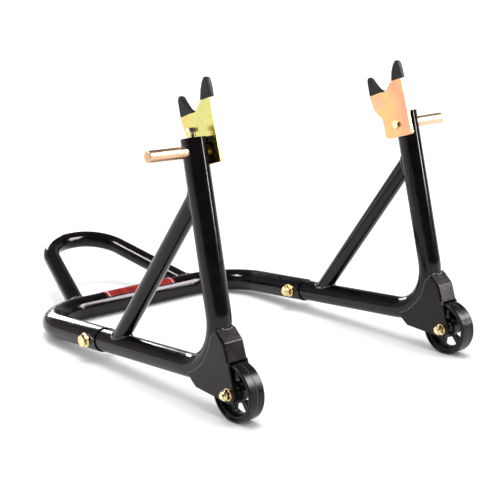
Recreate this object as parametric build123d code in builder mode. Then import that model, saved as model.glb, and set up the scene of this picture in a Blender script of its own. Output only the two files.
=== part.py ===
from build123d import *
from math import asin, atan2, cos, radians, sin, tan
import os

# Rear motorcycle paddock stand, millimetres. The floor is z = 0, +Y points to the handle at the back,
# -Y to the wheels at the front, and the stand is symmetric about the YZ plane apart from its bolts.
# The "left" side is at -X and the "right" side at +X.
os.makedirs("parts", exist_ok=True)

# ---- overall layout ----
LENGTH = 755.2  # front of the wheels to the back of the handle
HALF_TRACK = 193.4  # centre plane to the axis of an arm
CROSS_Y = 165.8  # axis of the rear cross tube
CORNER_Y = -320.1  # where the axes of the arm and of the upright cross
ARM_SLOPE = 4.0  # degrees that the legs and arms climb towards the front
UPRIGHT_TILT = 12.36  # degrees that the uprights lean back
UPRIGHT_LEAN = 1.05  # degrees that the uprights lean in towards each other
TOP_Z = 339.5  # centre of the open end of the upright

# ---- tubes ----
BASE_OD, BASE_WALL = 36.0, 1.7
BASE_CORNER_R = 87.0  # bend of the U at its axis
LEG_END_Y = -39.5  # front end of a leg, where the arm slides in
ARM_OD, ARM_WALL = 32.0, 2.0
ARM_BEND_R = 68.0
ARM_TAIL_Y = 20.4  # rear end of the arm, inside the leg
STRUT_OD, STRUT_WALL = 24.0, 1.75
STRUT_FOOT_Y = -73.1  # where the strut's axis meets the arm's axis
STRUT_HEAD_Z = 277.0  # where it meets the upright's axis
HANDLE_OD, HANDLE_WALL = 28.0, 2.0
HANDLE_RISE = 17.4  # degrees that the handle loop climbs towards the back
HANDLE_HALF_FOOT = 110.6  # half the distance between its feet on the cross tube
HANDLE_TAPER = 15.1  # degrees that its legs turn in
HANDLE_BEND_R = 65.6

# ---- wheels and their brackets ----
WHEEL_D, WHEEL_W = 74.0, 24.0
WHEEL_EDGE_R = 2.0
WHEEL_LIP, WHEEL_LIP_DEPTH = 3.5, 3.0
WHEEL_STEP_R, WHEEL_WEB = 29.5, 6.0
HUB_R, HUB_LENGTH = 11.5, 25.0
WINDOW_COUNT, WINDOW_IN_R, WINDOW_OUT_R = 5, 14.0, 26.5
WINDOW_SPAN, WINDOW_START = 50.0, -105.0  # degrees
WINDOW_EDGE_R = 1.5
BUSH_R, BUSH_CLEARANCE = 6.0, 0.08
BRACKET_W, SHEET = 32.0, 3.0
BRACKET_NOSE_R = 12.0
FOLD_R = 3.0  # outside of the folds
# Corners of the bracket's cheek, from the axle: distance to the back, height
CHEEK_CORNERS = [(21.8, 75.5), (7.3, 62.2), (65.0, -7.8), (75.3, -0.2), (82.7, 9.5)]
WEB_BOTTOM = 39.5  # lower edge of the front web, above the axle and clear of the wheel
CHEEK_EDGE_DROP = 5.0  # the cheek's upper edge runs this far outside the bent tube's axis
TOUCH = 0.01  # closer than this counts as touching
PAST_BRACKET = 100.0  # further than any corner of a bracket, for cuts that run past it

# ---- fasteners: shank radius, width across flats, head height, nut height, washer radius, thickness ----
M10 = dict(shank=5.0, flats=16.0, head=6.4, nut=9.0, washer=10.5, thick=2.0)
M8 = dict(shank=4.0, flats=13.0, head=5.3, nut=7.5, washer=8.0, thick=1.6)
M6 = dict(shank=3.0, flats=10.0, head=3.6)
HOLE_PLAY = 0.1
THREAD_PLAY = 0.05
THREAD_OUT = 2.5  # thread left standing out of a nut
HEAD_CHAMFER, HEAD_SLOPE = 0.2, 60  # rounding of a hexagon's corners: inset, and degrees from the axis
COLLAR_SHARE, COLLAR_INSET = 0.28, 0.6  # locking collar: share of the nut's height, and its inset
ARM_BOLT_Y = -18.2

# ---- hooks: pin through the top of the upright, V plate on its inner end ----
PIN_D, PIN_PLAY = 15.0, 0.05
PIN_DROP = 17.0  # pin axis below the end of the upright
PIN_STUB = 70.6  # upright axis to the pin's outer end
PLATE_FACE = 17.0  # upright axis to the plate's outer face
PIN_END_GAP = 0.2
PLATE_T = 5.0
PLATE_LEAN = 2.5  # degrees that the plate leans back from the upright, round its pin
PLUG_T = 6.0
CLAMP_TIP_GAP = 0.3  # clamp bolt's tip to the pin
CLAMP_HEAD_RISE = 7.0  # underside of its head above the upright
PLATE_BOLT_DEPTH = 16.0
CAP_T, CAP_TAPER = 7.8, 12.0  # thickness, and degrees that the cap thins towards its outline
# Outlines in the plate's plane, from the pin's axis: (distance to the back, height), corner radius
PLATE_OUTLINE = [
    ((-25, -17.5), 3), ((24.5, -17.5), 7), ((24.5, 12), 5), ((37, 25.5), 5), ((41.2, 47.4), 0.4),
    ((38.8, 47.6), 0.4), ((37.5, 69), 1.5), ((33.5, 69), 1.5), ((23, 53.2), 2), ((17, 49), 0.4),
    ((8.8, 49.4), 3), ((-4, 60.3), 0.4), ((-7.8, 60.4), 0.4), ((-17, 81), 1.5), ((-22.5, 81), 1.5),
    ((-25, 61), 0.4),
]
REAR_CAP_OUTLINE = [
    ((41, 47.4), 0.8), ((40.2, 70.5), 3), ((36.5, 75.6), 2.5), ((31.6, 73), 3), ((25.5, 62.5), 12),
    ((19.5, 54.6), 8), ((13, 51.4), 0.6), ((14.6, 49.2), 0.6),
]
FRONT_CAP_OUTLINE = [
    ((-27.5, 61.1), 0.8), ((-27.3, 78), 8), ((-25.2, 86), 2.5), ((-20.3, 88), 2.5), ((-14.6, 82.5), 3),
    ((-9.3, 73.5), 12), ((-5.2, 60.3), 0.8),
]

LABEL_X0, LABEL_LENGTH, LABEL_T = -64.0, 135.0, 0.4
LABEL_CENTRE, LABEL_HALF_ARC = 100.0, 35.0  # degrees round the tube from +Y towards +Z

# ---- values worked out from the ones above ----
WHEEL_R = WHEEL_D / 2
AXLE_Y = -LENGTH / 2 + WHEEL_R
BAR_Y = LENGTH / 2 - HANDLE_OD / 2
CROSS_Z = BASE_OD / 2
SIDES = (("left", -1), ("right", 1))


def on_arm(side, y):
    """Point on the common axis of a leg and its arm."""
    return Vector(side * HALF_TRACK, y, CROSS_Z + (CROSS_Y - y) * tan(radians(ARM_SLOPE)))


def upright_dir(side):
    return Vector(-side * tan(radians(UPRIGHT_LEAN)), tan(radians(UPRIGHT_TILT)), 1).normalized()


def on_upright(side, z):
    corner, up = on_arm(side, CORNER_Y), upright_dir(side)
    return corner + up * ((z - corner.Z) / up.Z)


def pin_dir(side):
    """Outward direction of the pin, square to the upright."""
    up, out = upright_dir(side), Vector(side, 0, 0)
    return (out - up * out.dot(up)).normalized()


def pin_centre(side):
    return on_upright(side, TOP_Z) - upright_dir(side) * PIN_DROP


def plate_plane(side, out):
    """Plane square to the pin: x to the back, y up along the plate's stem, `out` along the pin."""
    up, along = upright_dir(side), pin_dir(side)
    back = up.cross(along) * side
    lean = radians(PLATE_LEAN)
    x_dir = back * cos(lean) - up * sin(lean)
    return Plane(origin=pin_centre(side) + along * out, x_dir=x_dir, z_dir=along * side)


def axle_plane(side):
    """Plane square to the axle: x to the back, y up, its origin on the axle."""
    return Plane(origin=(side * HALF_TRACK, AXLE_Y, WHEEL_R), x_dir=(0, 1, 0), z_dir=(1, 0, 0))


def bent_tube(points, bend_r, outer_r, wall=0.0):
    """Round tube, or bar when there is no wall, swept along straight runs joined by bends."""
    with BuildPart() as tube:
        with BuildLine() as path:
            FilletPolyline(*points, radius=bend_r)
        with BuildSketch(Plane(origin=path.line @ 0, z_dir=path.line % 0)):
            Circle(outer_r)
            if wall:
                Circle(outer_r - wall, mode=Mode.SUBTRACT)
        sweep(path=path.line)
    return tube.part


def straight_tube(start, end, outer_r, wall):
    with BuildPart() as tube:
        with BuildSketch(Plane(origin=start, z_dir=end - start)):
            Circle(outer_r)
            Circle(outer_r - wall, mode=Mode.SUBTRACT)
        extrude(amount=(end - start).length)
    return tube.part


def arm_path(side):
    return [on_arm(side, ARM_TAIL_Y), on_arm(side, CORNER_Y), on_upright(side, TOP_Z)]


def hex_bolt(plane, size, length, tip_chamfer=0.8):
    """Bolt whose head sits on the plane, with its shank going down the plane's -z."""
    with BuildPart() as bolt:
        with BuildSketch(plane):
            RegularPolygon(size["flats"] / 2, 6, major_radius=False)
        extrude(amount=size["head"])
        with BuildSketch(plane.offset(size["head"])):
            Circle(size["flats"] / 2 - HEAD_CHAMFER)
        extrude(amount=-size["head"] * 2, taper=-HEAD_SLOPE, mode=Mode.INTERSECT)
        with BuildSketch(plane):
            Circle(size["shank"])
        extrude(amount=-length)
        tip = bolt.edges().filter_by(GeomType.CIRCLE).sort_by(Axis(plane.origin, plane.z_dir))[0]
        chamfer(tip, length=tip_chamfer)
    return bolt.part


def lock_nut(plane, size):
    """Nut standing on the plane, with the round collar of its locking ring on top."""
    collar = size["nut"] * COLLAR_SHARE
    with BuildPart() as nut:
        with BuildSketch(plane):
            RegularPolygon(size["flats"] / 2, 6, major_radius=False)
        extrude(amount=size["nut"] - collar)
        with BuildSketch(plane.offset(size["nut"] - collar)):
            Circle(size["flats"] / 2 - HEAD_CHAMFER)
        extrude(amount=-size["nut"] * 2, taper=-HEAD_SLOPE, mode=Mode.INTERSECT)
        with BuildSketch(plane.offset(size["nut"] - collar)):
            Circle(size["flats"] / 2 - COLLAR_INSET)
        extrude(amount=collar)
        rim = nut.edges().filter_by(GeomType.CIRCLE).sort_by(Axis(plane.origin, plane.z_dir))[-1]
        fillet(rim, radius=collar / 2)
        with BuildSketch(plane):
            Circle(size["shank"] + THREAD_PLAY)
        extrude(amount=size["nut"], mode=Mode.SUBTRACT)
    return nut.part


def washer(plane, size):
    """Washer lying on the plane."""
    with BuildPart() as ring:
        with BuildSketch(plane):
            Circle(size["washer"])
            Circle(size["shank"] + HOLE_PLAY, mode=Mode.SUBTRACT)
        extrude(amount=size["thick"])
    return ring.part


def save(part, name):
    part.label = name
    export_step(part, f"parts/{name}.step")


def save_group(parts, name):
    save(Compound(children=parts), name)


def side_seat(centre, width, facing):
    """Plane on the +X or -X side of something `width` wide about its centre."""
    return Plane(origin=centre + Vector(facing * width / 2, 0, 0), x_dir=(0, 0, 1), z_dir=(facing, 0, 0))


def save_cross_bolts(centres, width, size, facings, name):
    """Bolts through something `width` wide, with a washer at each end and a lock nut on the far side."""
    bolts, nuts, washers = [], [], []
    reach = width + 2 * size["thick"] + size["nut"] + THREAD_OUT
    for centre, facing in zip(centres, facings):
        head_seat, nut_seat = side_seat(centre, width, facing), side_seat(centre, width, -facing)
        washers += [washer(head_seat, size), washer(nut_seat, size)]
        bolts.append(hex_bolt(head_seat.offset(size["thick"]), size, reach))
        nuts.append(lock_nut(nut_seat.offset(size["thick"]), size))
    save_group(bolts, f"{name}_bolts")
    save_group(nuts, f"{name}_lock_nuts")
    save_group(washers, f"{name}_washers")


# ---- base: one tube bent into a U, with a bolt hole across each leg ----
base_path = [on_arm(-1, LEG_END_Y), on_arm(-1, CROSS_Y), on_arm(1, CROSS_Y), on_arm(1, LEG_END_Y)]
with BuildPart() as base_tube:
    add(bent_tube(base_path, BASE_CORNER_R, BASE_OD / 2, BASE_WALL))
    for _, side in SIDES:
        with Locations(Plane(origin=on_arm(side, ARM_BOLT_Y), z_dir=(1, 0, 0))):
            Cylinder(M10["shank"] + HOLE_PLAY, BASE_OD + 2, mode=Mode.SUBTRACT)
save(base_tube.part, "base_tube")

# ---- handle loop, coped onto the cross tube ----
run = BAR_Y - CROSS_Y
bar_z = CROSS_Z + run * tan(radians(HANDLE_RISE))
half_bar = HANDLE_HALF_FOOT - run / cos(radians(HANDLE_RISE)) * tan(radians(HANDLE_TAPER))
loop = [
    (-HANDLE_HALF_FOOT, CROSS_Y, CROSS_Z),
    (-half_bar, BAR_Y, bar_z),
    (half_bar, BAR_Y, bar_z),
    (HANDLE_HALF_FOOT, CROSS_Y, CROSS_Z),
]
with BuildPart() as handle_tube:
    add(bent_tube(loop, HANDLE_BEND_R, HANDLE_OD / 2, HANDLE_WALL))
    add(bent_tube(base_path, BASE_CORNER_R, BASE_OD / 2), mode=Mode.SUBTRACT)
save(handle_tube.part, "handle_tube")

# ---- outline of one window in a wheel's web ----
with BuildSketch() as window:
    with BuildLine():
        outer = CenterArc((0, 0), WINDOW_OUT_R, -WINDOW_SPAN / 2, WINDOW_SPAN)
        inner = CenterArc((0, 0), WINDOW_IN_R, -WINDOW_SPAN / 2, WINDOW_SPAN)
        Line(outer @ 0, inner @ 0)
        Line(outer @ 1, inner @ 1)
    make_face()
    fillet(window.vertices(), radius=WINDOW_EDGE_R)

for name, side in SIDES:
    arm_bar = bent_tube(arm_path(side), ARM_BEND_R, ARM_OD / 2)
    along, up = pin_dir(side), upright_dir(side)
    pin_at = pin_centre(side)

    # ---- arm: one tube that slides into the leg, bends up and becomes the upright ----
    with BuildPart() as arm_tube:
        add(bent_tube(arm_path(side), ARM_BEND_R, ARM_OD / 2, ARM_WALL))
        with Locations(Plane(origin=on_arm(side, ARM_BOLT_Y), z_dir=(1, 0, 0))):
            Cylinder(M10["shank"] + HOLE_PLAY, ARM_OD + 2, mode=Mode.SUBTRACT)
        with Locations(Plane(origin=pin_at, z_dir=along)):
            Cylinder(PIN_D / 2 + PIN_PLAY, ARM_OD + 2, mode=Mode.SUBTRACT)
    save(arm_tube.part, f"{name}_arm_tube")

    # ---- strut, coped onto the arm and the upright ----
    with BuildPart() as strut:
        foot, head = on_arm(side, STRUT_FOOT_Y), on_upright(side, STRUT_HEAD_Z)
        add(straight_tube(foot, head, STRUT_OD / 2, STRUT_WALL))
        add(arm_bar, mode=Mode.SUBTRACT)
    save(strut.part, f"{name}_strut")

    # ---- threaded plug that closes the upright and carries the clamp bolt ----
    top_plane = Plane(origin=on_upright(side, TOP_Z), z_dir=up)
    with BuildPart() as top_plug:
        with BuildSketch(top_plane):
            Circle(ARM_OD / 2 - ARM_WALL)
            Circle(M8["shank"] + THREAD_PLAY, mode=Mode.SUBTRACT)
        extrude(amount=-PLUG_T)
    save(top_plug.part, f"{name}_top_plug")

    # ---- wheel bracket: folded channel with two cheeks, a front web and a sloping top flange ----
    corner = on_arm(side, CORNER_Y)
    arm_back = Vector(0, cos(radians(ARM_SLOPE)), -sin(radians(ARM_SLOPE)))
    half_turn = radians(90 + UPRIGHT_TILT - ARM_SLOPE) / 2
    to_centre = (arm_back + Vector(0, sin(radians(UPRIGHT_TILT)), cos(radians(UPRIGHT_TILT)))).normalized()
    bend_centre = corner + to_centre * (ARM_BEND_R / cos(half_turn))
    cheek_side = axle_plane(side)
    bend_local = cheek_side.to_local_coords(bend_centre)
    flange_end, fold, *back_corners = CHEEK_CORNERS
    fold_dir = (Vector(*flange_end) - Vector(*fold)).normalized()
    web_lean = atan2(*fold) + asin(BRACKET_NOSE_R / Vector(*fold).length)
    front_dir = Vector(-sin(web_lean), -cos(web_lean))
    inner_fold = Vector(*fold) + (fold_dir + front_dir) * (SHEET / fold_dir.cross(front_dir).length)
    web_end = inner_fold + front_dir * ((inner_fold.Y - WEB_BOTTOM) / -front_dir.Y)
    web_foot = Plane(cheek_side.from_local_coords(Vector(0, WEB_BOTTOM)))  # level with the web's lower edge
    with BuildPart() as blank:
        with BuildSketch(cheek_side) as cheek:
            Circle(BRACKET_NOSE_R)
            with BuildLine():
                Polyline(flange_end, fold, *back_corners)
            make_hull()
            fillet(cheek.vertices().sort_by_distance(fold)[0], radius=FOLD_R)
        extrude(amount=BRACKET_W / 2, both=True)
    with BuildPart() as bracket:
        add(blank.part)
        split(bisect_by=web_foot, keep=Keep.TOP)
        folds = []
        for edge in bracket.edges():
            mid = cheek_side.to_local_coords(edge @ 0.5)
            if abs(mid.Z) > BRACKET_W / 2 - TOUCH and mid.X < flange_end[0] and mid.Y > WEB_BOTTOM + TOUCH:
                folds.append(edge)
        fillet(folds, radius=FOLD_R)
        add(blank.part.split(web_foot, keep=Keep.BOTTOM))
        with Locations(Plane(origin=bend_centre, z_dir=(1, 0, 0))):
            Cylinder(ARM_BEND_R + CHEEK_EDGE_DROP, BRACKET_W, mode=Mode.SUBTRACT)
        with BuildSketch(cheek_side):
            with BuildLine():
                Polyline(
                    inner_fold + fold_dir * PAST_BRACKET,
                    inner_fold,
                    web_end,
                    (-PAST_BRACKET, WEB_BOTTOM),
                    (-PAST_BRACKET, -PAST_BRACKET),
                    (PAST_BRACKET, -PAST_BRACKET),
                    close=True,
                )
            make_face()
        extrude(amount=BRACKET_W / 2 - SHEET, both=True, mode=Mode.SUBTRACT)
        with Locations(cheek_side):
            Cylinder(M8["shank"] + HOLE_PLAY, BRACKET_W + 2, mode=Mode.SUBTRACT)
        add(arm_bar, mode=Mode.SUBTRACT)
    save(bracket.part, f"{name}_wheel_bracket")

    # ---- wheel: rim with a stepped recess, a web with windows, and a hub ----
    with BuildPart() as wheel:
        with BuildSketch(cheek_side):
            Circle(WHEEL_R)
        extrude(amount=WHEEL_W / 2, both=True)
        fillet(wheel.edges().filter_by(GeomType.CIRCLE), radius=WHEEL_EDGE_R)
        for face in (-1, 1):
            with BuildSketch(cheek_side.offset(face * WHEEL_W / 2)):
                Circle(WHEEL_R - WHEEL_LIP)
            extrude(amount=-face * WHEEL_LIP_DEPTH, mode=Mode.SUBTRACT)
            with BuildSketch(cheek_side.offset(face * WHEEL_W / 2)):
                Circle(WHEEL_STEP_R)
            extrude(amount=-face * (WHEEL_W - WHEEL_WEB) / 2, mode=Mode.SUBTRACT)
        with BuildSketch(cheek_side):
            with PolarLocations(0, WINDOW_COUNT, start_angle=WINDOW_START):
                add(window.sketch)
        extrude(amount=WHEEL_WEB / 2, both=True, mode=Mode.SUBTRACT)
        with BuildSketch(cheek_side):
            Circle(HUB_R)
        extrude(amount=HUB_LENGTH / 2, both=True)
        with BuildSketch(cheek_side):
            Circle(BUSH_R + BUSH_CLEARANCE)
        extrude(amount=HUB_LENGTH / 2, both=True, mode=Mode.SUBTRACT)
    save(wheel.part, f"{name}_wheel")

    # ---- steel bush that the wheel turns on, clamped between the cheeks ----
    with BuildPart() as bush:
        with BuildSketch(cheek_side):
            Circle(BUSH_R)
            Circle(M8["shank"] + HOLE_PLAY, mode=Mode.SUBTRACT)
        extrude(amount=BRACKET_W / 2 - SHEET, both=True)
    save(bush.part, f"{name}_wheel_bush")

    # ---- hook pin, with a threaded hole in its inner end ----
    pin_inner = Plane(origin=pin_at - along * (PLATE_FACE - PIN_END_GAP), z_dir=along)
    with BuildPart() as hook_pin:
        with BuildSketch(pin_inner):
            Circle(PIN_D / 2)
        extrude(amount=PIN_STUB + PLATE_FACE - PIN_END_GAP)
        chamfer(hook_pin.edges().filter_by(GeomType.CIRCLE), length=1.0)
        with BuildSketch(pin_inner):
            Circle(M6["shank"] + THREAD_PLAY)
        extrude(amount=PLATE_BOLT_DEPTH + 2, mode=Mode.SUBTRACT)
    save(hook_pin.part, f"{name}_hook_pin")

    # ---- V plate: stem on the pin, short rear prong, tall front prong ----
    plate_mid = plate_plane(side, -PLATE_FACE - PLATE_T / 2)
    points, radii = zip(*PLATE_OUTLINE)
    with BuildPart() as hook_plate:
        with BuildSketch(plate_mid):
            with BuildLine():
                FilletPolyline(*points, radius=radii, close=True)
            make_face()
            Circle(M6["shank"] + THREAD_PLAY, mode=Mode.SUBTRACT)
        extrude(amount=PLATE_T / 2, both=True)
    save(hook_plate.part, f"{name}_hook_plate")

    # ---- moulded caps pushed over the prongs ----
    for cap_name, cap_outline in (("rear", REAR_CAP_OUTLINE), ("front", FRONT_CAP_OUTLINE)):
        points, radii = zip(*cap_outline)
        with BuildPart() as cap:
            with BuildSketch(plate_mid):
                with BuildLine():
                    FilletPolyline(*points, radius=radii, close=True)
                make_face()
            extrude(amount=CAP_T / 2, taper=CAP_TAPER)
            mirror(about=plate_mid)
            add(hook_plate.part, mode=Mode.SUBTRACT)
        save(cap.part, f"{name}_{cap_name}_prong_cap")

    # ---- bolt that holds the V plate on the pin ----
    plate_inner = pin_at - along * (PLATE_FACE + PLATE_T)
    bolt_seat = Plane(origin=plate_inner, x_dir=up, z_dir=-along)
    save(hex_bolt(bolt_seat, M6, PLATE_T + PLATE_BOLT_DEPTH), f"{name}_plate_bolt")

    # ---- clamp bolt down the upright's axis, onto the pin ----
    clamp_seat = top_plane.offset(CLAMP_HEAD_RISE)
    clamp_length = CLAMP_HEAD_RISE + PIN_DROP - PIN_D / 2 - CLAMP_TIP_GAP
    save(hex_bolt(clamp_seat, M8, clamp_length), f"{name}_clamp_bolt")

# ---- axle bolts, whose heads both face +X, and bolts across the telescoping joints, heads outside ----
save_cross_bolts([axle_plane(side).origin for _, side in SIDES], BRACKET_W, M8, (1, 1), "axle")
save_cross_bolts([on_arm(side, ARM_BOLT_Y) for _, side in SIDES], BASE_OD, M10, (-1, 1), "arm")

# ---- plain label wrapped over the cross tube ----
with BuildPart() as label:
    with BuildSketch(Plane(origin=(LABEL_X0, CROSS_Y, CROSS_Z), x_dir=(0, 1, 0), z_dir=(1, 0, 0))):
        with BuildLine():
            start, arc = LABEL_CENTRE - LABEL_HALF_ARC, 2 * LABEL_HALF_ARC
            outer = CenterArc((0, 0), BASE_OD / 2 + LABEL_T, start, arc)
            inner = CenterArc((0, 0), BASE_OD / 2, start, arc)
            Line(outer @ 0, inner @ 0)
            Line(outer @ 1, inner @ 1)
        make_face()
    extrude(amount=LABEL_LENGTH)
save(label.part, "label")
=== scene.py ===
import random
from math import asin, atan2, cos, pi, radians, sin, sqrt, tan

import bmesh
import bpy
from mathutils import Matrix, Vector


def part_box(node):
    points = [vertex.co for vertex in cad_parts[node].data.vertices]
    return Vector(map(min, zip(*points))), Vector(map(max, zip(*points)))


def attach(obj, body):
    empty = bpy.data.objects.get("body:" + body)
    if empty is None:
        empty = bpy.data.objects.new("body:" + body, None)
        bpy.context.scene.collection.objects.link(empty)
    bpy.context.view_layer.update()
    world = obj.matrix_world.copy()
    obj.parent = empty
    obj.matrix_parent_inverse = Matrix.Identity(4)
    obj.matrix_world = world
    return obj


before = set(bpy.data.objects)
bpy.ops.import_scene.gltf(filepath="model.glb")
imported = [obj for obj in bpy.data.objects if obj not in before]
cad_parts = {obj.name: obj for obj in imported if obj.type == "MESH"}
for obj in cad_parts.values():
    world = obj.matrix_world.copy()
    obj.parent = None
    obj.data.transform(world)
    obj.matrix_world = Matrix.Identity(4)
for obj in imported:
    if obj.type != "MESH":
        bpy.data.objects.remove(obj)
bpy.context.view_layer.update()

# Looks of the paddock stand, in metres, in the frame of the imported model: +X to the right-hand
# upright, +Y back to the handle, -Y to the wheels, the floor at z = 0.
scene = bpy.context.scene
MM = 0.001
SIDES = (("left", -1), ("right", 1))

# ---- layout and tubes of the CAD model, repeated in metres ----
HALF_TRACK, CROSS_Y, CROSS_Z = 0.1934, 0.1658, 0.018
CORNER_Y, TOP_Z = -0.3201, 0.3395
ARM_SLOPE, UPRIGHT_TILT, UPRIGHT_LEAN = radians(4.0), radians(12.36), radians(1.05)
BASE_R, ARM_R, STRUT_R, HANDLE_R = 0.018, 0.016, 0.012, 0.014
ARM_BEND_R, BASE_CORNER_R = 0.068, 0.087
STRUT_FOOT_Y, STRUT_HEAD_Z = -0.0731, 0.277
HANDLE_RISE, HANDLE_TAPER, HANDLE_HALF_FOOT = radians(17.4), radians(15.1), 0.1106
AXLE_Y, AXLE_Z = -0.3406, 0.037
CHEEK_EDGE_R = 0.073  # the cheek's curved upper edge, round the centre of the arm's bend
# Corners of a bracket seen from the side, as distances behind the axle and above it
FLANGE_END, FLANGE_FOLD = (0.0218, 0.0755), (0.0073, 0.0622)
CHEEK_FRONT, CHEEK_BACK = (0.0317, 0.0648), (0.0827, 0.0095)
M8_R, M8_PITCH = 0.004, 0.00125


def on_arm(side, y):
    return Vector((side * HALF_TRACK, y, CROSS_Z + (CROSS_Y - y) * tan(ARM_SLOPE)))


def upright_dir(side):
    return Vector((-side * tan(UPRIGHT_LEAN), tan(UPRIGHT_TILT), 1)).normalized()


def on_upright(side, z):
    corner, up = on_arm(side, CORNER_Y), upright_dir(side)
    return corner + up * ((z - corner.z) / up.z)


ARC_STEPS = 24


def centreline(points, bend_r):
    """Straight runs joined by arcs of one radius, each arc cut into steps."""
    line = [points[0]]
    for before, at, after in zip(points, points[1:], points[2:]):
        back, ahead = (before - at).normalized(), (after - at).normalized()
        half = back.angle(ahead) / 2
        middle = (back + ahead).normalized()
        centre = at + middle * (bend_r / sin(half))
        trim = bend_r / tan(half)
        start, end = at + back * trim - centre, at + ahead * trim - centre
        sweep = start.angle(end)
        across = (end - start * cos(sweep)) / sin(sweep)
        turns = [sweep * i / ARC_STEPS for i in range(ARC_STEPS + 1)]
        line += [centre + start * cos(turn) + across * sin(turn) for turn in turns]
    return line + [points[-1]]


TINY = 1e-12  # keeps a division by a length clear of zero
HALVINGS = 24


def distance_to(line, point):
    best = (point - line[0]).length
    for a, b in zip(line, line[1:]):
        run = b - a
        share = min(max((point - a).dot(run) / max(run.length_squared, TINY), 0), 1)
        best = min(best, (point - a - run * share).length)
    return best


def reach(start, direction, line, radius, furthest):
    """First point from start along direction that lies `radius` from the line, or the furthest one."""
    near, far = 0.0, furthest
    if distance_to(line, start + direction * furthest) > radius:
        return start + direction * furthest
    for _ in range(HALVINGS):
        middle = (near + far) / 2
        if distance_to(line, start + direction * middle) > radius:
            near = middle
        else:
            far = middle
    return start + direction * far


ARM_TAIL_Y, LEG_FRONT_Y = 0.02, -0.03  # where a line starts, near its tube's end, clear of welds


def arm_line(side):
    points = [on_arm(side, ARM_TAIL_Y), on_arm(side, CORNER_Y), on_upright(side, TOP_Z)]
    return centreline(points, ARM_BEND_R)


def base_line():
    points = [on_arm(-1, LEG_FRONT_Y), on_arm(-1, CROSS_Y), on_arm(1, CROSS_Y), on_arm(1, LEG_FRONT_Y)]
    return centreline(points, BASE_CORNER_R)


# ---- node helpers ----
def add_node(tree, kind, inputs=None, **settings):
    """New shader node; inputs are linked where they are sockets and set where they are values."""
    node = tree.nodes.new("ShaderNode" + kind)
    for key, value in settings.items():
        setattr(node, key, value)
    for key, value in (inputs or {}).items():
        if isinstance(value, bpy.types.NodeSocket):
            tree.links.new(value, node.inputs[key])
        else:
            node.inputs[key].default_value = value
    return node


def new_material(name, values):
    material = bpy.data.materials.new(name)
    material.use_nodes = True
    shader = material.node_tree.nodes["Principled BSDF"]
    for socket, value in values.items():
        shader.inputs[socket].default_value = value
    return material, material.node_tree, shader


def object_coords(tree):
    return add_node(tree, "TexCoord").outputs["Object"]


def noise(tree, scale, detail, offset=0.0):
    """Noise over the piece's own coordinates, in cycles per metre, as a 0 to 1 socket."""
    moved = add_node(tree, "Mapping", {"Vector": object_coords(tree), "Location": (offset, 0, 0)})
    inputs = {"Vector": moved.outputs["Vector"], "Scale": scale, "Detail": detail}
    made = add_node(tree, "TexNoise", inputs)
    return made.outputs["Fac"]


def ramp(tree, factor, stops):
    node = add_node(tree, "ValToRGB", {"Fac": factor})
    elements = node.color_ramp.elements
    while len(elements) < len(stops):
        elements.new(0.5)
    for element, (position, color) in zip(elements, stops):
        element.position = position
        element.color = (*color, 1)
    return node.outputs["Color"]


def spread(tree, factor, low, high):
    """Turns a noise, which keeps near its middle, into a value from low to high."""
    inputs = {"Value": factor, "From Min": 0.3, "From Max": 0.7, "To Min": low, "To Max": high}
    return add_node(tree, "MapRange", inputs).outputs["Result"]


def math_node(tree, operation, *values):
    return add_node(tree, "Math", dict(enumerate(values)), operation=operation).outputs["Value"]


def mix_color(tree, factor, first, second):
    node = tree.nodes.new("ShaderNodeMix")
    node.data_type = "RGBA"
    for index, value in ((0, factor), (6, first), (7, second)):
        if isinstance(value, bpy.types.NodeSocket):
            tree.links.new(value, node.inputs[index])
        else:
            node.inputs[index].default_value = value
    return node.outputs[2]


def bump(tree, shader, heights):
    """Chains bumps; each entry is a height socket and its depth in metres."""
    normal = None
    for height, depth in heights:
        inputs = {"Height": height, "Distance": depth}
        if normal:
            inputs["Normal"] = normal
        normal = add_node(tree, "Bump", inputs).outputs["Normal"]
    tree.links.new(normal, shader.inputs["Normal"])


# ---- materials ----
PAINT_SHEEN = (1.0, 0.90, 0.96, 1)  # black powder coat mirrors white as a faint mauve


def powder_coat(name, dark, light, roughness, peel, gloss):
    """Baked paint: faint cloudiness, uneven gloss, orange peel and specks of dust under the film."""
    values = {"Specular IOR Level": gloss, "Specular Tint": PAINT_SHEEN}
    material, tree, shader = new_material(name, values)
    color = ramp(tree, noise(tree, 45, 4), [(0.35, dark), (0.65, light)])
    specks = ramp(tree, noise(tree, 1400, 1, offset=3.1), [(0.72, (0, 0, 0)), (0.80, (1, 1, 1))])
    color = mix_color(tree, specks, color, (0.05, 0.047, 0.048, 1))
    tree.links.new(color, shader.inputs["Base Color"])
    tree.links.new(spread(tree, noise(tree, 90, 5), *roughness), shader.inputs["Roughness"])
    bump(tree, shader, [(noise(tree, 420, 2), peel), (noise(tree, 2600, 1), peel * 0.05)])
    return material


def zinc(name, tints, roughness=0.24, scale=13):
    """Chromated zinc plate: slowly drifting interference tints, with fine grain and dull spots."""
    material, tree, shader = new_material(name, {"Metallic": 1.0})
    stops = [(0.32 + 0.36 * i / (len(tints) - 1), tint) for i, tint in enumerate(tints)]
    color = ramp(tree, noise(tree, scale, 1.2), stops)
    spots = ramp(tree, noise(tree, 240, 3), [(0.60, (0, 0, 0)), (0.78, (0.5, 0.5, 0.5))])
    color = mix_color(tree, spots, color, (*tints[0], 1))
    tree.links.new(color, shader.inputs["Base Color"])
    low, high = roughness * 0.8, roughness * 1.25
    tree.links.new(spread(tree, noise(tree, 160, 4), low, high), shader.inputs["Roughness"])
    bump(tree, shader, [(noise(tree, 900, 2), 0.000004)])
    return material


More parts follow.
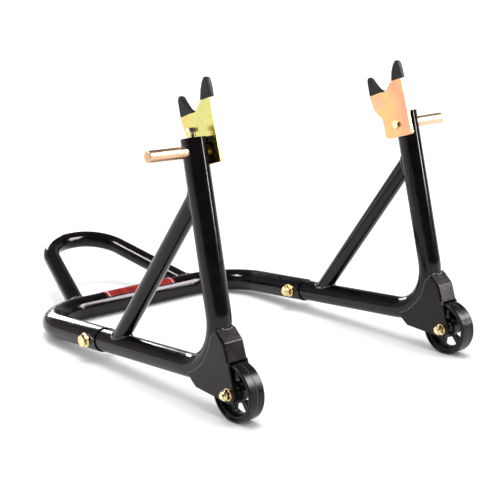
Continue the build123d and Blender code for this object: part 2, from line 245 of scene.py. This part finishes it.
def parting_line(tree):
    """1 along a thin ring round the middle of each wheel's tread, 0 elsewhere."""
    across = add_node(tree, "SeparateXYZ", {"Vector": object_coords(tree)}).outputs["X"]
    from_middle = math_node(tree, "SUBTRACT", math_node(tree, "ABSOLUTE", across), HALF_TRACK)
    offset = math_node(tree, "ABSOLUTE", from_middle)
    inputs = {"Value": offset, "From Min": 0.2 * MM, "From Max": 0.7 * MM, "To Min": 1.0, "To Max": 0.0}
    return add_node(tree, "MapRange", inputs).outputs["Result"]


def moulded(name, dark, light, roughness, depth, parting=False):
    """Moulded plastic or rubber: spark-eroded grain, uneven sheen and, on wheels, a parting line."""
    material, tree, shader = new_material(name, {"Specular IOR Level": 0.22})
    color = ramp(tree, noise(tree, 60, 3), [(0.35, dark), (0.65, light)])
    heights = [(noise(tree, 1500, 2), depth), (noise(tree, 200, 2), depth * 0.7)]
    if parting:
        line = parting_line(tree)
        color = mix_color(tree, line, color, (0.055, 0.053, 0.055, 1))
        heights.append((line, 0.3 * MM))
    tree.links.new(color, shader.inputs["Base Color"])
    tree.links.new(spread(tree, noise(tree, 120, 4), *roughness), shader.inputs["Roughness"])
    bump(tree, shader, heights)
    return material


def label_film(name, low_x, high_x):
    """Red film with a thin white line near each end."""
    material, tree, shader = new_material(name, {"Specular IOR Level": 0.35})
    across = add_node(tree, "SeparateXYZ", {"Vector": object_coords(tree)}).outputs["X"]
    inset, half_width = 5 * MM, 0.7 * MM
    low_line = math_node(tree, "COMPARE", across, low_x + inset, half_width)
    high_line = math_node(tree, "COMPARE", across, high_x - inset, half_width)
    lines = math_node(tree, "ADD", low_line, high_line)
    red = ramp(tree, noise(tree, 70, 3), [(0.35, (0.20, 0.009, 0.009)), (0.65, (0.30, 0.015, 0.013))])
    tree.links.new(mix_color(tree, lines, red, (0.7, 0.66, 0.64, 1)), shader.inputs["Base Color"])
    tree.links.new(spread(tree, noise(tree, 150, 3), 0.2, 0.34), shader.inputs["Roughness"])
    bump(tree, shader, [(noise(tree, 500, 2), 0.00002)])
    return material


BLACK = powder_coat("gloss_black_coat", (0.0022, 0.0018, 0.0021), (0.0045, 0.0038, 0.0043),
                    roughness=(0.10, 0.17), peel=0.00003, gloss=0.29)
GREY = powder_coat("satin_dark_coat", (0.0050, 0.0036, 0.0042), (0.0090, 0.0070, 0.0080),
                   roughness=(0.20, 0.30), peel=0.00006, gloss=0.23)
WELD = powder_coat("coated_weld", (0.010, 0.009, 0.010), (0.022, 0.020, 0.021),
                   roughness=(0.10, 0.22), peel=0.00010, gloss=0.6)
YELLOW_ZINC = zinc("yellow_zinc", [(0.72, 0.36, 0.15), (0.76, 0.55, 0.17), (0.70, 0.62, 0.20),
                                   (0.60, 0.63, 0.24)])
BLUSH_ZINC = zinc("blush_zinc", [(0.80, 0.36, 0.22), (0.82, 0.46, 0.24), (0.84, 0.52, 0.20),
                                 (0.80, 0.44, 0.30)])
PIN_ZINC = zinc("pin_zinc", [(0.56, 0.32, 0.18), (0.66, 0.43, 0.27), (0.72, 0.50, 0.34)], 0.32)
BOLT_ZINC = zinc("bolt_zinc", [(0.70, 0.50, 0.22), (0.86, 0.70, 0.38), (0.90, 0.80, 0.55)], 0.22, 30)
STEEL = zinc("turned_steel", [(0.42, 0.42, 0.43), (0.56, 0.56, 0.57)], 0.3, 30)
PLASTIC = moulded("wheel_plastic", (0.0040, 0.0038, 0.0042), (0.0080, 0.0074, 0.0080),
                  roughness=(0.20, 0.32), depth=0.00004, parting=True)
RUBBER = moulded("cap_rubber", (0.011, 0.009, 0.011), (0.020, 0.017, 0.019),
                 roughness=(0.38, 0.55), depth=0.00005)
LABEL = label_film("plain_red_film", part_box("label")[0].x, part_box("label")[1].x)

CAP_VOXEL, CAP_SMOOTHINGS = 0.6 * MM, 10
SAME_POINT = 1e-6
SHARP_EDGE = radians(32)

# Material, edge rounding in metres (None where the whole node is softened), and the CAD nodes
FINISHES = [
    (BLACK, 0.4 * MM, ["base_tube", "handle_tube", "left_arm_tube", "right_arm_tube", "left_strut",
                       "right_strut", "left_top_plug", "right_top_plug"]),
    (GREY, 0.5 * MM, ["left_wheel_bracket", "right_wheel_bracket"]),
    (YELLOW_ZINC, 0.45 * MM, ["left_hook_plate"]),
    (BLUSH_ZINC, 0.45 * MM, ["right_hook_plate"]),
    (PIN_ZINC, 0.2 * MM, ["left_hook_pin", "right_hook_pin"]),
    (BOLT_ZINC, 0.25 * MM, ["arm_bolts", "arm_lock_nuts", "arm_washers", "axle_bolts", "axle_lock_nuts",
                            "axle_washers", "left_plate_bolt", "right_plate_bolt", "left_clamp_bolt",
                            "right_clamp_bolt"]),
    (STEEL, 0.2 * MM, ["left_wheel_bush", "right_wheel_bush"]),
    (PLASTIC, 0.4 * MM, ["left_wheel", "right_wheel"]),
    (RUBBER, None, ["left_rear_prong_cap", "left_front_prong_cap", "right_rear_prong_cap",
                    "right_front_prong_cap"]),
    (LABEL, 0.1 * MM, ["label"]),
]


def soften(node):
    """Rounds a cap off as moulded rubber is: fine even faces, then smoothed a few times."""
    even = node.modifiers.new("even_faces", "REMESH")
    even.mode, even.voxel_size, even.use_smooth_shade = "VOXEL", CAP_VOXEL, True
    smooth = node.modifiers.new("rounded", "SMOOTH")
    smooth.factor, smooth.iterations = 0.5, CAP_SMOOTHINGS


def round_edges(node, rounding):
    """Small bevels on sharp edges, with flat faces shaded flat."""
    weld = node.modifiers.new("join", "WELD")
    weld.merge_threshold = SAME_POINT
    bevel = node.modifiers.new("edges", "BEVEL")
    bevel.width, bevel.segments = rounding, 2
    bevel.limit_method, bevel.angle_limit = "ANGLE", SHARP_EDGE
    normals = node.modifiers.new("face_normals", "WEIGHTED_NORMAL")
    normals.weight, normals.keep_sharp = 100, False


def finish_nodes():
    for finish, rounding, names in FINISHES:
        for name in names:
            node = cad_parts[name]
            node.data.materials.clear()
            node.data.materials.append(finish)
            if rounding is None:
                soften(node)
            else:
                round_edges(node, rounding)


# ---- added pieces ----
def new_piece(name, verts, faces, finish, body):
    mesh = bpy.data.meshes.new(name)
    mesh.from_pydata([tuple(v) for v in verts], [], faces)
    build = bmesh.new()
    build.from_mesh(mesh)
    bmesh.ops.recalc_face_normals(build, faces=build.faces)
    build.to_mesh(mesh)
    build.free()
    mesh.materials.append(finish)
    for face in mesh.polygons:
        face.use_smooth = True
    piece = bpy.data.objects.new(name, mesh)
    scene.collection.objects.link(piece)
    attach(piece, body)


FEWEST_STEPS = 4


def resample(points, step, closed):
    """The same line with points `step` apart, so that ripples keep an even pitch."""
    if closed:
        points = points + [points[0]]
    lengths = [0.0]
    for a, b in zip(points, points[1:]):
        lengths.append(lengths[-1] + (b - a).length)
    count = max(int(lengths[-1] / step), FEWEST_STEPS)
    result, at = [], 0
    for i in range(count + (0 if closed else 1)):
        goal = lengths[-1] * i / count
        while at < len(points) - 2 and lengths[at + 1] < goal:
            at += 1
        share = (goal - lengths[at]) / max(lengths[at + 1] - lengths[at], TINY)
        result.append(points[at].lerp(points[at + 1], share))
    return result


BEAD_STEP, BEAD_SIDES = 0.45 * MM, 10
RIPPLE_PITCH, RIPPLE_LOW, RIPPLE_RISE = 2.1 * MM, 0.90, 0.20  # the last two as shares of the radius
END_SIZE, END_GROWTH = 0.35, 0.16  # an open bead's end, and how much fuller each step is


def bead(name, points, radius, seed, closed=True, lumpy=0.10):
    """Weld bead: a ridge along the points, rippled like laid-down coins and a little uneven."""
    draw = random.Random(seed)
    path = resample(points, BEAD_STEP, closed)
    count = len(path)
    sways = [(draw.uniform(-1, 1), draw.uniform(5, 11) * MM, draw.uniform(0, 2 * pi)) for _ in range(4)]
    verts, faces = [], []
    for i, at in enumerate(path):
        after = path[(i + 1) % count] if closed or i < count - 1 else at
        before = path[i - 1] if closed or i > 0 else at
        along = (after - before).normalized()
        side = along.orthogonal() if i == 0 else side - along * side.dot(along)
        side.normalize()
        over = along.cross(side)
        run = i * BEAD_STEP
        phase = (run / RIPPLE_PITCH) % 1.0
        size = radius * (RIPPLE_LOW + RIPPLE_RISE * sqrt(max(1 - (2 * phase - 1) ** 2, 0)))
        size *= 1 + lumpy * sum(s * sin(2 * pi * run / w + p) for s, w, p in sways) / 2
        if not closed:
            size *= min(1.0, END_SIZE + min(i, count - 1 - i) * END_GROWTH)
        for k in range(BEAD_SIDES):
            turn = 2 * pi * k / BEAD_SIDES
            verts.append(at + (side * cos(turn) + over * sin(turn)) * size)
    rings = count if closed else count - 1
    # A closed bead's last ring may be turned against its first, so the seam joins nearest corners
    shift = 0
    if closed:
        last, first = verts[-BEAD_SIDES:], verts[:BEAD_SIDES]
        shift = min(range(BEAD_SIDES), key=lambda s: sum(
            (last[k] - first[(k + s) % BEAD_SIDES]).length for k in range(BEAD_SIDES)))
    for i in range(rings):
        a, b = i * BEAD_SIDES, ((i + 1) % count) * BEAD_SIDES
        turn = shift if closed and i == count - 1 else 0
        for k in range(BEAD_SIDES):
            n = (k + 1) % BEAD_SIDES
            faces.append((a + k, a + n, b + (n + turn) % BEAD_SIDES, b + (k + turn) % BEAD_SIDES))
    if not closed:
        faces += [tuple(range(BEAD_SIDES)), tuple(range((count - 1) * BEAD_SIDES, count * BEAD_SIDES))]
    new_piece(name, verts, faces, WELD, "frame")


RING_POINTS = 56


def joint_ring(foot, towards, tube_r, line, line_r):
    """Where a round tube from `towards` to its foot meets the surface round a line."""
    axis = (foot - towards).normalized()
    u = axis.orthogonal().normalized()
    w = axis.cross(u)
    ring = []
    for i in range(RING_POINTS):
        turn = 2 * pi * i / RING_POINTS
        start = towards + (u * cos(turn) + w * sin(turn)) * tube_r
        ring.append(reach(start, axis, line, line_r, (foot - towards).length))
    return ring


def cheek_point(side, back, up, across):
    return Vector((side * HALF_TRACK + across, AXLE_Y + back, AXLE_Z + up))


CHEEK_WELD_R, CHEEK_WELD_OUT, FLANGE_SIDE_OUT = 1.7 * MM, 15.3 * MM, 15.2 * MM
BESIDE_TUBE = 2.2 * MM  # from the tube's surface out to the bead at the flange's side
FLANGE_WELD_HALF, FLANGE_WELD_R = 12.5 * MM, 2.3 * MM
SIDE_STEPS, CURVE_STEPS, ACROSS_STEPS = 5, 32, 20


def bracket_beads(name, side, line):
    """Beads along both cheeks' upper edges and across the end of the flange."""
    corner = on_arm(side, CORNER_Y)
    back = (on_arm(side, 0) - corner).normalized()
    up = (on_upright(0, TOP_Z) - on_arm(0, CORNER_Y)).normalized()
    half = back.angle(up) / 2
    centre = corner + (back + up).normalized() * (ARM_BEND_R / sin(half))
    middle = (centre.y - AXLE_Y, centre.z - AXLE_Z)
    start = pi + asin((middle[1] - CHEEK_FRONT[1]) / CHEEK_EDGE_R)
    end = atan2(CHEEK_BACK[1] - middle[1], CHEEK_BACK[0] - middle[0]) % (2 * pi)
    for tag, lean in (("outer", side), ("inner", -side)):
        points = []
        for i in range(SIDE_STEPS):
            share = i / SIDE_STEPS
            edge = [a + (b - a) * share for a, b in zip(FLANGE_END, CHEEK_FRONT)]
            rho = sqrt((edge[0] - middle[0]) ** 2 + (edge[1] - middle[1]) ** 2) - ARM_BEND_R
            out = sqrt(max(ARM_R ** 2 - rho ** 2, 0)) + BESIDE_TUBE
            points.append(cheek_point(side, *edge, lean * min(out, FLANGE_SIDE_OUT)))
        for i in range(CURVE_STEPS + 1):
            turn = start + (end - start) * i / CURVE_STEPS
            at = (middle[0] + CHEEK_EDGE_R * cos(turn), middle[1] + CHEEK_EDGE_R * sin(turn))
            points.append(cheek_point(side, *at, lean * CHEEK_WELD_OUT))
        bead(f"{name}_cheek_weld_{tag}", points, CHEEK_WELD_R, seed=36 + side, closed=False)
    slope = Vector((0, FLANGE_END[0] - FLANGE_FOLD[0], FLANGE_END[1] - FLANGE_FOLD[1]))
    points = []
    for i in range(ACROSS_STEPS + 1):
        across = FLANGE_WELD_HALF * (2 * i / ACROSS_STEPS - 1)
        fold = cheek_point(side, *FLANGE_FOLD, across)
        points.append(reach(fold, slope.normalized(), line, ARM_R, slope.length))
    bead(f"{name}_flange_weld", points, FLANGE_WELD_R, seed=71 + side, closed=False, lumpy=0.35)


THREAD_SIDES, RINGS_PER_TURN = 28, 8
THREAD_GAP, THREAD_LENGTH = 0.3 * MM, 6.4 * MM
CREST_OUT, ROOT_IN, SHANK_OUT = 0.20 * MM, 0.30 * MM, 0.02 * MM  # from the plain shank's surface


def thread_rings(name, start, direction, length, radius, pitch, body):
    """Thread in sight above an upright's plug: a ridged sleeve just over the plain shank."""
    direction = direction.normalized()
    u = direction.orthogonal().normalized()
    w = direction.cross(u)
    crest, root, shank = radius + CREST_OUT, radius - ROOT_IN, radius + SHANK_OUT
    sides = THREAD_SIDES
    count = int(length / pitch * RINGS_PER_TURN)
    verts, faces = [], []
    for i in range(count + 1):
        run = length * i / count
        for k in range(sides):
            share = (run / pitch - k / sides) % 1.0
            size = root + (crest - root) * (1 - abs(2 * share - 1))
            turn = 2 * pi * k / sides
            out = u * cos(turn) + w * sin(turn)
            verts.append(start + direction * run + out * max(size, shank))
    for i in range(count):
        for k in range(sides):
            n = (k + 1) % sides
            faces.append((i * sides + k, i * sides + n, (i + 1) * sides + n, (i + 1) * sides + k))
    faces += [tuple(range(sides)), tuple(range(count * sides, (count + 1) * sides))]
    new_piece(name, verts, faces, BOLT_ZINC, body)


TUBE_WELD_R, HEAD_WELD_R = 2.0 * MM, 1.9 * MM
HANDLE_RUN = 0.07  # any length up the handle's leg that is clear of the cross tube


def strut_beads(name, side, line):
    foot, head = on_arm(side, STRUT_FOOT_Y), on_upright(side, STRUT_HEAD_Z)
    middle = (foot + head) / 2
    foot_ring = joint_ring(foot, middle, STRUT_R, line, ARM_R)
    head_ring = joint_ring(head, middle, STRUT_R, line, ARM_R)
    bead(f"{name}_strut_foot_weld", foot_ring, TUBE_WELD_R, seed=3 + side)
    bead(f"{name}_strut_head_weld", head_ring, HEAD_WELD_R, seed=7 + side)


def handle_bead(name, side):
    along = Vector((-side * sin(HANDLE_TAPER), cos(HANDLE_TAPER) * cos(HANDLE_RISE),
                    cos(HANDLE_TAPER) * sin(HANDLE_RISE)))
    foot = Vector((side * HANDLE_HALF_FOOT, CROSS_Y, CROSS_Z))
    ring = joint_ring(foot, foot + along * HANDLE_RUN, HANDLE_R, base_line(), BASE_R)
    bead(f"{name}_handle_weld", ring, TUBE_WELD_R, seed=13 + side)


def add_pieces():
    for name, side in SIDES:
        line = arm_line(side)
        strut_beads(name, side, line)
        handle_bead(name, side)
        bracket_beads(name, side, line)
        up = upright_dir(side)
        start = on_upright(side, TOP_Z) + up * THREAD_GAP
        thread_rings(f"{name}_clamp_thread", start, up, THREAD_LENGTH, M8_R, M8_PITCH, f"{name}_clamp")


finish_nodes()
add_pieces()

# ---- floor, light and camera ----
# The camera was solved once from the photograph: turned right of +Y, tipped down, rolled
YAW, PITCH, ROLL = radians(39.386), radians(13.321), radians(1.13)
CAMERA_AT = Vector((-1.01703, -1.37175, 0.52642))
LENS, SENSOR = 82.45, 36.0  # millimetres
FLOOR_HALF = 60.0  # metres
FILL, SURROUND, DARK_ABOVE, DARK_FRONT = 1.15, 0.50, 0.12, 0.03  # radiance of the world's parts
SUN_STRENGTH, SUN_SPREAD = 1.7, radians(34)
SUN_RAYS = Vector((-0.06, -0.06, -1))  # the way its light travels
MIDDLE = Vector((0, 0, 0.1))  # what the softboxes face


def make_camera():
    forward = Vector((sin(YAW) * cos(PITCH), cos(YAW) * cos(PITCH), -sin(PITCH)))
    level = Vector((cos(YAW), -sin(YAW), 0))
    below = forward.cross(level)
    right = level * cos(ROLL) + below * sin(ROLL)
    up = level * sin(ROLL) - below * cos(ROLL)
    data = bpy.data.cameras.new("camera")
    data.lens, data.sensor_width = LENS, SENSOR
    camera = bpy.data.objects.new("camera", data)
    rows = Matrix((right, up, -forward)).transposed()
    camera.matrix_world = Matrix.Translation(CAMERA_AT) @ rows.to_4x4()
    scene.collection.objects.link(camera)
    scene.camera = camera


def make_floor():
    mesh = bpy.data.meshes.new("floor")
    corners = [(x * FLOOR_HALF, y * FLOOR_HALF, 0) for x, y in ((-1, -1), (1, -1), (1, 1), (-1, 1))]
    mesh.from_pydata(corners, [], [(0, 1, 2, 3)])
    floor = bpy.data.objects.new("floor", mesh)
    scene.collection.objects.link(floor)
    material, tree, shader = new_material("floor_white", {"Roughness": 0.7, "Specular IOR Level": 0.1})
    white = ramp(tree, noise(tree, 3, 2), [(0.3, (0.84, 0.84, 0.84)), (0.7, (0.86, 0.86, 0.86))])
    tree.links.new(white, shader.inputs["Base Color"])
    mesh.materials.append(material)


def make_world():
    """Soft white fill. Gloss mirrors a faintly warm surround, dark above and to the front (-Y)."""
    world = bpy.data.worlds.new("studio")
    scene.world = world
    world.use_nodes = True
    tree = world.node_tree
    background = tree.nodes["Background"]
    ray = add_node(tree, "LightPath").outputs["Is Glossy Ray"]
    # The direction that a ray looks in, each part of it from -1 to 1
    direction = add_node(tree, "TexCoord").outputs["Generated"]
    split = add_node(tree, "SeparateXYZ", {"Vector": direction})
    high = add_node(tree, "MapRange", {
        "Value": split.outputs["Z"], "From Min": 0.25, "From Max": 0.55, "To Min": SURROUND,
        "To Max": DARK_ABOVE})
    front = add_node(tree, "MapRange", {
        "Value": split.outputs["Y"], "From Min": -0.22, "From Max": -0.10, "To Min": DARK_FRONT,
        "To Max": high.outputs["Result"]})
    mix = tree.nodes.new("ShaderNodeMix")
    tree.links.new(ray, mix.inputs[0])
    mix.inputs[2].default_value = FILL
    tree.links.new(front.outputs["Result"], mix.inputs[3])
    tree.links.new(mix.outputs[0], background.inputs["Strength"])
    tree.links.new(mix_color(tree, ray, (1, 1, 1, 1), (1.0, 0.90, 0.95, 1)), background.inputs["Color"])


def softbox(name, towards, distance, size, radiance):
    """Softbox seen only in gloss, in one direction from the stand; its power follows its radiance."""
    data = bpy.data.lights.new(name, "AREA")
    data.shape, data.size, data.size_y = "RECTANGLE", size[0], size[1]
    data.energy = radiance * pi * size[0] * size[1]
    light = bpy.data.objects.new(name, data)
    direction = Vector(towards).normalized()
    aim = (-direction).to_track_quat("-Z", "Y").to_matrix().to_4x4()
    light.matrix_world = Matrix.Translation(MIDDLE + direction * distance) @ aim
    light.visible_camera = False
    light.visible_diffuse = False
    scene.collection.objects.link(light)


def make_lights():
    sun = bpy.data.lights.new("soft_sun", "SUN")
    sun.energy, sun.angle = SUN_STRENGTH, SUN_SPREAD
    lamp = bpy.data.objects.new("soft_sun", sun)
    lamp.rotation_euler = SUN_RAYS.to_track_quat("-Z", "Y").to_euler()
    lamp.visible_glossy = False
    scene.collection.objects.link(lamp)
    # Direction from MIDDLE, distance, size in metres, radiance
    softbox("front_box", (0.57, -0.60, 0.56), 3.0, (1.3, 1.3), 26)
    softbox("side_strip", (0.66, -0.72, 0.22), 3.1, (0.24, 0.5), 42)
    softbox("left_box", (-0.58, 0.26, 0.77), 3.0, (0.75, 0.75), 32)
    softbox("back_box", (0.213, 0.923, 0.315), 3.0, (1.1, 0.85), 22)
    softbox("low_front", (0.59, -0.79, 0.14), 3.1, (1.1, 0.22), 1.0)


make_camera()
make_floor()
make_world()
make_lights()
scene.view_settings.view_transform = "Standard"
